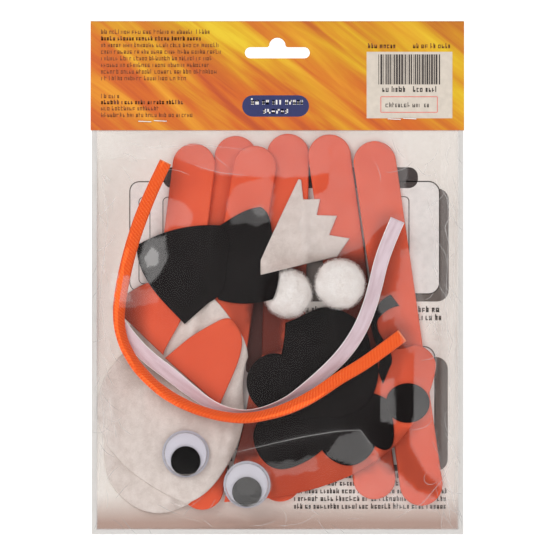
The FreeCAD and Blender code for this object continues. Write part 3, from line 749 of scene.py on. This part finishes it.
def lathe(name, node, centre, profile, material, sides=72):
    """A shell turned about a line that faces the camera: its profile is (radius, height) pairs."""
    x, back, z = centre
    turns = [2 * math.pi * side / sides for side in range(sides)]
    points = [(x + radius * math.cos(turn), -(back + height), z + radius * math.sin(turn))
              for radius, height in profile for turn in turns]
    piece = new_object(name, points, tube_faces(len(profile), sides), material)
    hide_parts(node)


def eye_dome(side, centre):
    """The clear cover of a googly eye: a thin rim, a rounded shoulder and a shallow crown."""
    outer, rise, wall = 11.9, 5.0, 0.4
    crown = outer - 0.5
    shell = [(outer, 0.82), (outer, 1.1), (outer - 0.15, 1.25), (crown, 1.3)]
    for step in range(1, 17):
        turn = math.pi / 2 * step / 16
        shell.append((crown * math.cos(turn) ** 0.75, 1.3 + (rise - 0.6) * math.sin(turn) ** 0.9))
    inner = [(max(radius - wall, 0.0), height - wall) for radius, height in reversed(shell[4:])]
    lathe(side + "_eye_dome", "eye_" + side + "_dome", centre, shell + inner, clear_plastic)
    over = ((MESH_X - centre[0]) ** 2 + (MESH_Z - centre[2]) ** 2) / outer ** 2
    raise_film(over, centre[1] + 1.4 + (rise - 0.6) * np.sqrt(np.clip(1 - over * 1.3, 0, 1)))


# ------------------------------------------------------------------ printing

def rectangle(x_low, z_low, x_high, z_high):
    return [(x_low, z_low), (x_high, z_low), (x_high, z_high), (x_low, z_high)]


def rounded(x_low, z_low, x_high, z_high, radius):
    points = []
    for cx, cz, start in ((x_high - radius, z_high - radius, 0), (x_low + radius, z_high - radius, 90),
                          (x_low + radius, z_low + radius, 180), (x_high - radius, z_low + radius, 270)):
        points += [(cx + radius * math.cos(math.radians(start + turn)),
                    cz + radius * math.sin(math.radians(start + turn))) for turn in range(0, 91, 15)]
    return points


def band(x_low, z_low, x_high, z_high, radius, width):
    """The outline of a rounded rectangle as a row of quads."""
    outside = rounded(x_low, z_low, x_high, z_high, radius)
    within = rounded(x_low + width, z_low + width, x_high - width, z_high - width, max(radius - width, 0.1))
    count = len(outside)
    return [[outside[i], outside[(i + 1) % count], within[(i + 1) % count], within[i]] for i in range(count)]


def greeked(x_low, x_high, z_base, size, ragged=True, heavy=0.17):
    """A line of marks that stand for text and can't be read: words of upright and level strokes."""
    shapes, x = [], x_low
    end = x_high - (RNG.random() * 0.10 * (x_high - x_low) if ragged else 0)
    pen = size * heavy
    while x < end - size:
        for _ in range(int(RNG.integers(2, 9))):
            wide = size * (0.34 + 0.22 * RNG.random())
            if x + wide > end:
                break
            tall = size * (1.0 if RNG.random() < 0.28 else 0.72)
            shapes.append(rectangle(x, z_base, x + pen, z_base + tall))
            if RNG.random() < 0.55:
                shapes.append(rectangle(x + wide - pen, z_base, x + wide, z_base + size * 0.72))
            for level in (0.0, 0.36, 0.72):
                if RNG.random() < 0.5:
                    z = z_base + size * level - (pen if level else 0)
                    shapes.append(rectangle(x, z, x + wide, z + pen))
            x += wide + size * 0.2
        x += size * 0.34
    return shapes


def printed(name, shapes, depth, material):
    """Flat ink on a surface: a negative depth faces the camera and a positive one faces away."""
    points, faces = [], []
    for shape in shapes:
        first = len(points)
        points += [(x, depth, z) for x, z in shape]
        faces.append(tuple(range(first, len(points))))
    new_object(name, points, faces, material, smooth=False)


def header_printing():
    """What is printed on the header's two panels, with marks in place of any wording."""
    face, ink = -0.965, -0.985
    dark = []
    for line, end in enumerate((-34.5, -38.0, -29.8, -28.4, -32.0, -31.5, -30.0, -45.0)):
        dark += greeked(-89.6, end, 6.3 - 3.37 * line, 2.3, False, 0.26 if line == 1 else 0.15)
    for z, end, heavy in ((-26.4, -79.5, 0.15), (-29.5, -45.4, 0.26), (-32.6, -58.0, 0.15),
                          (-36.0, -40.6, 0.15)):
        dark += greeked(-89.6, end, z, 2.3, False, heavy)
    dark += greeked(46.1, 61.0, -1.0, 2.6, False, 0.2) + greeked(69.0, 89.3, -1.0, 2.6, False)
    printed("header_small_print", dark, face, plain_material("brown_ink", linear(112, 58, 28), 0.5))
    pill = rounded(-17.9, -35.8, 16.1, -24.9, 5.4)
    printed("header_pill", [pill], face, plain_material("navy_ink", linear(38, 44, 92), 0.4))
    white = plain_material("white_ink", linear(226, 222, 218), 0.5)
    marks = greeked(-13.4, 13.0, -29.6, 3.2, False, 0.26) + greeked(-7.2, 7.2, -34.2, 3.2, False, 0.26)
    printed("header_pill_marks", marks, ink, white)
    panel = [rectangle(45.4, -36.6, 89.0, -2.8)]
    printed("header_code_panel", panel, face, plain_material("panel_white", linear(202, 191, 178), 0.45))
    bars, x = [], 51.4
    while x < 82.6:
        wide = float(RNG.choice([0.33, 0.66, 0.66, 0.99]))
        bars.append(rectangle(x, -19.4, min(x + wide, 83.2), -4.1))
        x += wide + float(RNG.choice([0.33, 0.33, 0.66]))
    for start, end in ((47.0, 49.0), (53.4, 66.0), (69.0, 81.6), (85.2, 87.2)):
        bars += greeked(start, end, -23.2, 2.9, False)
    bars += greeked(55.0, 80.0, -31.0, 2.5, False, 0.14)
    printed("header_code_marks", bars, ink, plain_material("black_ink", linear(52, 44, 42), 0.5))
    box = band(52.4, -33.8, 81.6, -25.4, 0.6, 0.45)
    printed("header_code_box", box, ink, plain_material("red_ink", linear(214, 120, 110), 0.5))
    front = [rounded(-62.0, -30.0, 62.0, -14.0, 3.0)]
    printed("header_front_panel", front, -face, white)
    front_marks = greeked(-54.0, 56.0, -26.0, 8.0, False, 0.26)
    printed("header_front_marks", front_marks, -ink, bpy.data.materials["navy_ink"])


def sheet_printing():
    """The instruction sheet's two printed faces: step panels, marks in place of wording, and a dark patch of
    painted shade.
    """
    face, ink, top_ink = -0.30, -0.33, -0.36
    grey = plain_material("sheet_grey", linear(243, 239, 235), 0.8)
    dark = plain_material("sheet_dark", linear(110, 101, 96), 0.8)
    black = plain_material("sheet_black", linear(70, 62, 60), 0.8)
    # The dark brown is painted shade, not ink.
    brown = plain_material("sheet_painted_shade", linear(78, 38, 32), 0.8)
    steps = [(-75.3, -125.0, -8.0, -68.6, 5.0), (0.0, -126.2, 82.8, -68.4, 6.0),
             (-75.3, -205.0, -10.0, -140.0, 6.0), (0.0, -213.4, 80.4, -152.4, 6.0)]
    shadows = [rounded(4.0, -129.8, 87.2, -72.2, 6.0), rounded(6.0, -216.0, 86.7, -158.0, 6.0)]
    printed("sheet_shadows", shadows, face, dark)
    printed("sheet_panels", [rounded(*step) for step in steps], ink, grey)
    lines = []
    for number, step in enumerate(steps):
        lines += band(*step, (0.5, 0.6)[number % 2])
    for left, right, top, width in ((-70.6, -64.6, -76.5, 0.4), (-58.4, -52.6, -76.5, 0.4),
                                    (44.0, 67.2, -76.2, 0.5), (-14.0, -2.0, -76.5, 0.4)):
        lines += band(left, -121.0, right, top, 2.6, width)
    lines.append(rounded(-58.1, -72.1, 71.5, -61.5, 4.6))
    printed("sheet_lines", lines, top_ink, black)
    # Painted shade: a dark brown patch where the sheet shows in the deep gap between two sticks.
    printed("sheet_painted_shade_patch", [rounded(-16.0, -166.0, -5.0, -128.0, 1.5)], top_ink - 0.03, brown)
    printed("sheet_dark_patch", [rounded(12.5, -125.5, 27.0, -103.0, 2.0)], top_ink - 0.03, dark)
    words = []
    for line in range(2):
        words += greeked(8.0, 84.4, -135.2 - 4.1 * line, 3.1, False, 0.2)
        words += greeked(-75.0, -12.0, -131.0 - 4.3 * line, 2.7, True, 0.2)
    for line in range(5):
        words += greeked(8.5, 87.0, -219.6 - 3.9 * line, 2.7, False, 0.2)
        words += greeked(-75.0, -12.0, -211.0 - 3.9 * line, 2.7, True, 0.2)
    printed("sheet_words", words, top_ink, dark)
    back, back_ink = -0.045, -0.030
    printed("sheet_front_ground", [rectangle(-92.0, -244.6, 92.0, -44.4)], back,
            plain_material("sheet_front_orange", linear(236, 150, 60), 0.7))
    blocks = [rounded(-80.0, -150.0, 80.0, -60.0, 8.0)]
    blocks += [rounded(-80.0 + 56 * n, -220.0, -34.0 + 56 * n, -166.0, 5.0) for n in range(3)]
    printed("sheet_front_blocks", blocks, back_ink, grey)
    sticks = [rounded(-50.0 + 21.0 * n, -146.0 + 3 * (n % 2), -39.0 + 21.0 * n, -116.0 + 3 * (n % 2), 5.4)
              for n in range(5)]
    for n in range(3):
        for k in range(n + 1):
            left = -60.3 + 56 * n + 9 * (k - n / 2)
            sticks.append(rounded(left, -214.0, -53.7 + 56 * n + 9 * (k - n / 2), -173.0, 3.2))
    printed("sheet_front_sticks", sticks, -0.015,
            plain_material("sheet_stick_orange", linear(226, 104, 60), 0.7))
    dots = [rounded(-43.5 + 56 * n, -177.0, -36.5 + 56 * n, -170.0, 3.4) for n in range(3)]
    printed("sheet_front_dots", dots, -0.012, bpy.data.materials["navy_ink"])
    marks = greeked(-60.0, 62.0, -84.0, 11.0, False, 0.24) + greeked(-44.0, 46.0, -102.0, 8.0, False, 0.2)
    printed("sheet_front_marks", marks, -0.015, bpy.data.materials["navy_ink"])


# ------------------------------------------------------------------ film

def smooth_step(values, low, high):
    share = np.clip((values - low) / (high - low), 0, 1)
    return share * share * (3 - 2 * share)


# Patches where the film stands off what is under it and looks milky: an amount, how softly it
# ends, and its outline as (x, z).
HAZE_PATCHES = [
    (0.085, 1.2, [(-96, -43), (27, -43), (27, -64), (14, -67), (-6, -66), (-31, -65), (-40, -61),
                 (-52, -56), (-58, -57), (-96, -58)]),
    (0.05, 0.9, [(-19, -70), (-6, -66), (-1, -72), (-3, -90), (-24, -91), (-27, -80)]),
    (0.08, 0.8, [(-55, -78), (-48, -80), (-42, -86), (-44, -91), (-57, -93), (-57, -84)]),
    (0.12, 1.6, [(-57, -96), (-55, -102), (-58, -114), (-64, -121), (-69, -114), (-70, -107), (-65, -98)]),
    (0.30, 0.8, [(-62, -101), (-59, -104), (-61, -111), (-66, -114), (-68, -108)]),
    (0.13, 1.0, [(-13, -82), (-8, -81), (-5, -84), (-8, -87), (-12, -86)]),
    (0.12, 0.9, [(-84, -116), (-74, -116), (-73, -129), (-84, -130)]),
    (0.05, 1.0, [(-82, -124), (-62, -122), (-60, -131), (-80, -133)]),
    (0.075, 1.0, [(27, -43), (64, -43), (67, -92), (57.3, -87.4), (51.2, -92.5), (42, -102.6),
                  (29.8, -107.7), (12, -104), (12, -82), (22, -74), (27, -66)]),
    (0.06, 1.0, [(62, -104), (72, -104), (76, -150), (66, -156), (60, -140)]),
    (0.075, 0.6, [(69.5, -150), (82, -150), (79, -186), (83.7, -212), (83.2, -224.5), (74.5, -215.4),
                  (67.4, -203), (67.4, -194), (69.4, -186), (69.4, -168)]),
    (0.085, 0.5, [(52, -170), (59.4, -168), (59.8, -192), (52, -190)]),
    (0.085, 0.5, [(69.4, -168), (80, -170), (79, -188), (68.8, -192)]),
    (0.07, 0.6, [(42, -195), (50.5, -206), (39, -213), (24, -208), (31, -198)]),
    (0.10, 0.8, [(50.5, -206), (61, -218), (58, -232), (40, -230), (38, -213)]),
    (0.08, 0.7, [(60, -214), (61.3, -216.4), (70.5, -225.6), (80.6, -229.1), (81, -236), (60, -236)]),
    (0.09, 1.0, [(-27, -219), (-22, -212), (-14, -209.5), (-6, -214), (-3, -222), (-7, -231),
                 (-15, -234.5), (-24, -230)]),
    (0.07, 0.9, [(50, -126), (62, -126), (62, -137), (52, -140)]),
    (0.05, 1.0, [(-6, -212), (18, -208), (22, -214), (0, -219)]),
    (0.06, 2.5, [(-96, -120), (-84, -120), (-86, -170), (-80, -200), (-90, -236), (-96, -236)]),
]
# Folds in the film: a strength and a path as (x, z). Each raises a ridge in the film, and the thin line of
# haze and the sliver along it are a painted highlight.
FOLDS = [
    (1.0, [(84, -214), (88, -224), (91, -238)]),
    (0.8, [(83, -222), (87, -233), (88, -243)]),
    (0.8, [(85, -196), (90, -206), (93, -212)]),
    (0.7, [(84, -230), (89, -236), (93, -238)]),
    (0.8, [(86, -78), (88, -86), (85, -92), (88, -104)]),
    (0.6, [(82, -70), (90, -84)]),
    (0.5, [(85, -140), (89, -150), (86, -160)]),
    (0.5, [(-24, -206.5), (-3, -201.5), (14, -197.8), (30, -195.3), (42, -194.7), (51, -207.5)]),
    (0.5, [(86, -60), (87, -96), (85.5, -130), (88, -170), (86, -214)]),
    (0.4, [(91, -70), (89.5, -120), (91, -180), (90, -232)]),
    (0.4, [(76, -78), (81, -96), (79, -112), (84, -126)]),
    (0.4, [(60, -240), (74, -232), (84, -220), (90, -208)]),
    (0.4, [(-90, -62), (-86, -90), (-90, -124), (-87, -150)]),
    (0.3, [(-92, -160), (-88, -190), (-91, -226)]),
    (0.35, [(-80, -48), (-62, -52), (-40, -50), (-14, -53)]),
    (0.35, [(-46, -59), (-38, -62), (-29, -64.5), (-14, -66)]),
]


SEAL_WIDTH = 3.0
SEAL_HEIGHT = 0.42
CARD_EDGE = -44.0  # above this the film is gripped by the card
HIGHEST_FILM = 20.3
# Seeded crease slivers and their haze: painted highlights along the folds.
RANDOM_CREASE_GLINTS = 110
CREASE_GLINT_HAZE = 0.30


def make_crease_glints(film):
    """Thin bright lines along the film's folds, each a sliver that follows the film: the folds are real, and
    their brightness is a painted highlight in place of the glints that they catch.
    """
    paths = [(strength, np.array(path, float)) for strength, path in FOLDS]
    for _ in range(RANDOM_CREASE_GLINTS):
        side = RNG.random()
        if side < 0.36:
            start = np.array([RNG.uniform(78, 92), RNG.uniform(-240, -50)])
            way = RNG.normal(-math.pi / 2, 0.5)
        elif side < 0.66:
            start = np.array([RNG.uniform(-92, -80), RNG.uniform(-240, -50)])
            way = RNG.normal(-math.pi / 2, 0.5)
        elif side < 0.84:
            start = np.array([RNG.uniform(-88, 88), RNG.uniform(-245, -228)])
            way = RNG.normal(0.0, 0.7)
        else:
            start = np.array([RNG.uniform(-88, 88), RNG.uniform(-64, -46)])
            way = RNG.normal(-0.5, 0.8)
        path, bend = [start], RNG.normal(0, 0.12)
        for _ in range(int(RNG.integers(3, 9))):
            way += bend + RNG.normal(0, 0.16)
            path.append(path[-1] + 1.9 * np.array([math.cos(way), math.sin(way)]))
        paths.append((RNG.uniform(0.15, 0.5), np.array(path)))
    points, faces = [], []
    for strength, path in paths:
        spans = np.hypot(*np.diff(path, axis=0).T)
        along = np.concatenate([[0], np.cumsum(spans)])
        stops = np.linspace(0, along[-1], max(4, int(along[-1] / 0.9)))
        line = np.column_stack([np.interp(stops, along, path[:, axis]) for axis in (0, 1)])
        smooth = line.copy()
        smooth[1:-1] = (line[:-2] + 2 * line[1:-1] + line[2:]) / 4
        line = np.clip(smooth, [bag_low[0] + 0.6, bag_low[2] + 0.6], [bag_high[0] - 0.6, -44.5])
        ahead = np.gradient(line, axis=0)
        normal = np.column_stack([-ahead[:, 1], ahead[:, 0]]) / np.hypot(*ahead.T)[:, None]
        share = stops / along[-1]
        half = (0.07 + 0.16 * strength) * np.sin(np.pi * np.clip(share, 0.03, 0.97)) ** 0.5
        rise = sample(film, line) + 0.12
        first = len(points)
        for (x, z), (nx, nz), wide, high in zip(line, normal, half, rise):
            points += [(x - nx * wide, -high, z - nz * wide), (x + nx * wide, -high, z + nz * wide)]
        faces += [(first + 2 * n, first + 2 * n + 1, first + 2 * n + 3, first + 2 * n + 2)
                  for n in range(len(line) - 1)]
    piece = new_object("bag_film_crease_glints", points, faces, bag_film)
    store(piece, "haze", np.full(len(points), CREASE_GLINT_HAZE))


def film_noise(value):
    """A value worked out at each place of the height grid."""
    return np.array([value(x, z) for x, z in GRID_POINTS]).reshape(MESH_X.shape)


def make_film():
    """The camera-side film, drawn tight over whatever is highest and held down along its seals."""
    floor = film_floor + 0.25
    edge = np.minimum(np.minimum(MESH_X - bag_low[0], bag_high[0] - MESH_X), MESH_Z - bag_low[2])
    held = (edge < SEAL_WIDTH) | (MESH_Z > CARD_EDGE)
    floor[held] = SEAL_HEIGHT
    film = floor.copy()
    inner = ~held
    for coarse in (8, 4, 2, 1):
        part, base, free = film[::coarse, ::coarse], floor[::coarse, ::coarse], inner[::coarse, ::coarse]
        if coarse > 1:
            base = base.copy()
        for _ in range(420):
            around = (np.roll(part, 1, 0) + np.roll(part, -1, 0)
                      + np.roll(part, 1, 1) + np.roll(part, -1, 1)) / 4
            part = np.where(free, np.maximum(base, around), base)
        if coarse > 1:
            rows = np.clip(np.arange(film.shape[0]) / coarse, 0, part.shape[0] - 1.001)
            columns = np.clip(np.arange(film.shape[1]) / coarse, 0, part.shape[1] - 1.001)
            i, j = rows.astype(int)[:, None], columns.astype(int)[None, :]
            v, u = (rows - rows.astype(int))[:, None], (columns - columns.astype(int))[None, :]
            grown = ((part[i, j] * (1 - u) + part[i, j + 1] * u) * (1 - v)
                     + (part[i + 1, j] * (1 - u) + part[i + 1, j + 1] * u) * v)
            film = np.where(inner, np.maximum(floor, grown), floor)
        else:
            film = part
    gap = film - film_floor
    loose = smooth_step(gap, 0.3, 5.0) * smooth_step(edge, 1.5, 9.0)
    waves = film_noise(lambda x, z: noise.noise(Vector((x / 23, z / 31, 1.0)))
                       + 0.5 * noise.noise(Vector((x / 9, z / 12, 4.0))))
    sharp = film_noise(lambda x, z: 1 - abs(noise.noise(Vector((x / 17 + z / 40, z / 26, 9.0)))) * 2.4)
    film = film - loose * (0.9 * (0.5 + waves) + 0.5 * np.clip(sharp, 0, 1) ** 3)
    haze = 0.002 + 0.010 * smooth_step(gap, 2.0, 9.0)
    wobble = [film_noise(lambda x, z: noise.noise(Vector((x / 7, z / 7, seed)))) for seed in (2.0, 5.0)]
    wobble = np.column_stack([part.ravel() for part in wobble])
    for amount, soft, outline in HAZE_PATCHES:
        outline = np.array(outline, float)
        moved = GRID_POINTS + (wobble if soft > 0.65 else 0) * 2.2
        depth = edge_distance(outline, moved) * np.where(inside(outline, moved), 1, -1)
        patch = smooth_step(depth, -soft / 2, soft / 2).reshape(film.shape)
        haze = np.maximum(haze, amount * patch) + 0.02 * patch
    for strength, path in FOLDS:
        away = path_distance(path, GRID_POINTS).reshape(film.shape)
        film = film + 0.7 * strength * np.exp(-(away / 1.6) ** 2) * (edge > 1.5)
        # Painted highlight: a thin line of haze along each fold.
        haze = haze + 0.05 * strength * np.exp(-(away / 1.2) ** 2)
    film = np.clip(np.maximum(film, film_floor * 0.2 + 0.2), 0.2, HIGHEST_FILM)
    film[held] = SEAL_HEIGHT + 0.5 * np.clip(sharp, 0, 1)[held] * (edge[held] > 1) * (MESH_Z[held] < -46)
    seal = smooth_step(11.5 - (bag_high[0] - MESH_X), 0, 1.0) * 0.07
    seal = np.maximum(seal, smooth_step(SEAL_WIDTH - edge, 0, 0.8) * 0.95)
    haze = np.maximum(haze, seal)
    rows, columns = film.shape
    count = rows * columns
    front = [(x, -h, z) for (x, z), h in zip(GRID_POINTS, film.ravel())]
    index = np.arange(count).reshape(rows, columns)
    corners = index[:-1, :-1], index[:-1, 1:], index[1:, 1:], index[1:, :-1]
    faces = np.column_stack([corner.ravel() for corner in corners]).tolist()
    make_crease_glints(film)
    piece = new_object("bag_film_near", front, faces, bag_film)
    store(piece, "haze", haze)
    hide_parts("bag_near_film")


# ------------------------------------------------------------------ the pack

make_camera()
make_backdrop()
make_lights()

orange_foam = foam_material("orange_foam", linear(241, 100, 64), linear(231, 90, 56))
black_felt = felt_material("black_felt", linear(28, 24, 24), linear(21, 18, 18), linear(36, 32, 31),
                           0.05, 0.05)
white_felt = felt_material("white_felt", linear(234, 224, 217), linear(208, 195, 187), linear(246, 242, 238))
white_fluff = felt_material("white_fluff", linear(254, 251, 248), linear(238, 231, 226),
                            linear(255, 254, 253), 0.5)
sheet_paper = paper_material("sheet_paper", linear(246, 241, 234), linear(236, 229, 221))
bag_film = film_material("bag_film", 1.06)
far_film = film_material("far_film", 1.06)
clear_plastic = film_material("clear_plastic", 1.16, (1, 1, 1, 1))

plate("instruction_sheet_paper", "instruction_sheet", 0, 0.2, sheet_paper, 6.0, 0.4)
for number in (2, 4, 1, 3, 5, 6):
    plate("stick_%d" % number, "foam_stick_%d" % number, 260, 2.9, orange_foam, 3.0, 0.8)
plate("head_shape", "foam_head", 160, 2.0, orange_foam, 3.0, 0.6)
film_floor = support.copy()
pom_pom("left_pom_pom", "pom_pom_left", (5.4, -11.6, -125.7), 13.1, 6.0, white_fluff)
FELTS = [
    ("muzzle", "muzzle_felt", 18, white_felt),
    ("belly", "belly_felt", 18, white_felt),
    ("mouth", "mouth_felt", 12, black_felt),
    ("lower_paw", "paw_felt_lower", 22, black_felt),
    ("upper_paw", "paw_felt_upper", 22, black_felt),
    ("right_ear", "outer_ear_right", 24, black_felt),
]
for name, node, stiffness, material in FELTS:
    if name == "right_ear":
        np.maximum(support, film_floor, out=support)
    plate(name, node, stiffness, 1.2, material)
for side in ("left", "right"):
    plate(side + "_inner_ear", "inner_ear_" + side, 60, 1.9, orange_foam, 2.0, 0.6)
plate("left_ear", "outer_ear_left", 24, 1.2, black_felt)
plate("tail_tip", "tail_tip_felt", 20, 1.2, white_felt)
plate("nose_oval", "nose", 40, 1.2, black_felt)

np.maximum(film_floor, support, out=film_floor)
string_line = smooth_line("string_line", STRING_ROUTE, 16.0)
ribbon_line = smooth_line("ribbon_line", RIBBON_ROUTE, 12.2)
strip("string_cord", "string", string_line, 3.4, 1.8, [
    (0.0, 12, 0.92), (0.12, 6, 1.0), (0.26, 24, 0.96), (0.36, 52, 0.92), (0.48, 50, 0.95),
    (0.60, 56, 0.9), (0.70, 46, 0.9), (0.80, 14, 0.96), (0.92, 4, 1.0), (1.0, 6, 1.02),
], string_material(), 20, 0.25)
strip("ribbon_strip", "ribbon", ribbon_line, 3.75, 0.2, [
    (0.0, 4, 1.0), (0.20, 10, 1.0), (0.32, 4, 1.0), (0.42, 30, 1.0), (0.52, 66, 1.0),
    (0.62, 78, 1.0), (0.72, 44, 1.0), (0.82, 16, 1.0), (1.0, 10, 1.0),
], ribbon_material(), 16)
pom_pom("right_pom_pom", "pom_pom_right", (31.6, -13.1, -120.9), 13.6, 6.0, white_fluff)
eye_dome("left", (-46.4, 9.8, -206.8))
eye_dome("right", (-15.4, 9.2, -222.4))
store_painted_shade()
header_printing()
sheet_printing()
make_film()

CARRIED = {
    "header_card": header_material(),
    # The staples' pale colour is their steel, lightened to stand for the glints on them: partly painted
    # highlight.
    "staple": plain_material("staple_steel", linear(228, 224, 220), 0.3),
    "base": plain_material("eye_white", linear(218, 217, 228), 0.5, 0.3, 0.01),
    "pupil": plain_material("eye_black", linear(9, 7, 7), 0.75, 0.03, 0.02),
    "bag_far_film": far_film,
}
for name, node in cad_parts.items():
    for part, material in CARRIED.items():
        if part in name:
            node.data.materials.clear()
            node.data.materials.append(material)
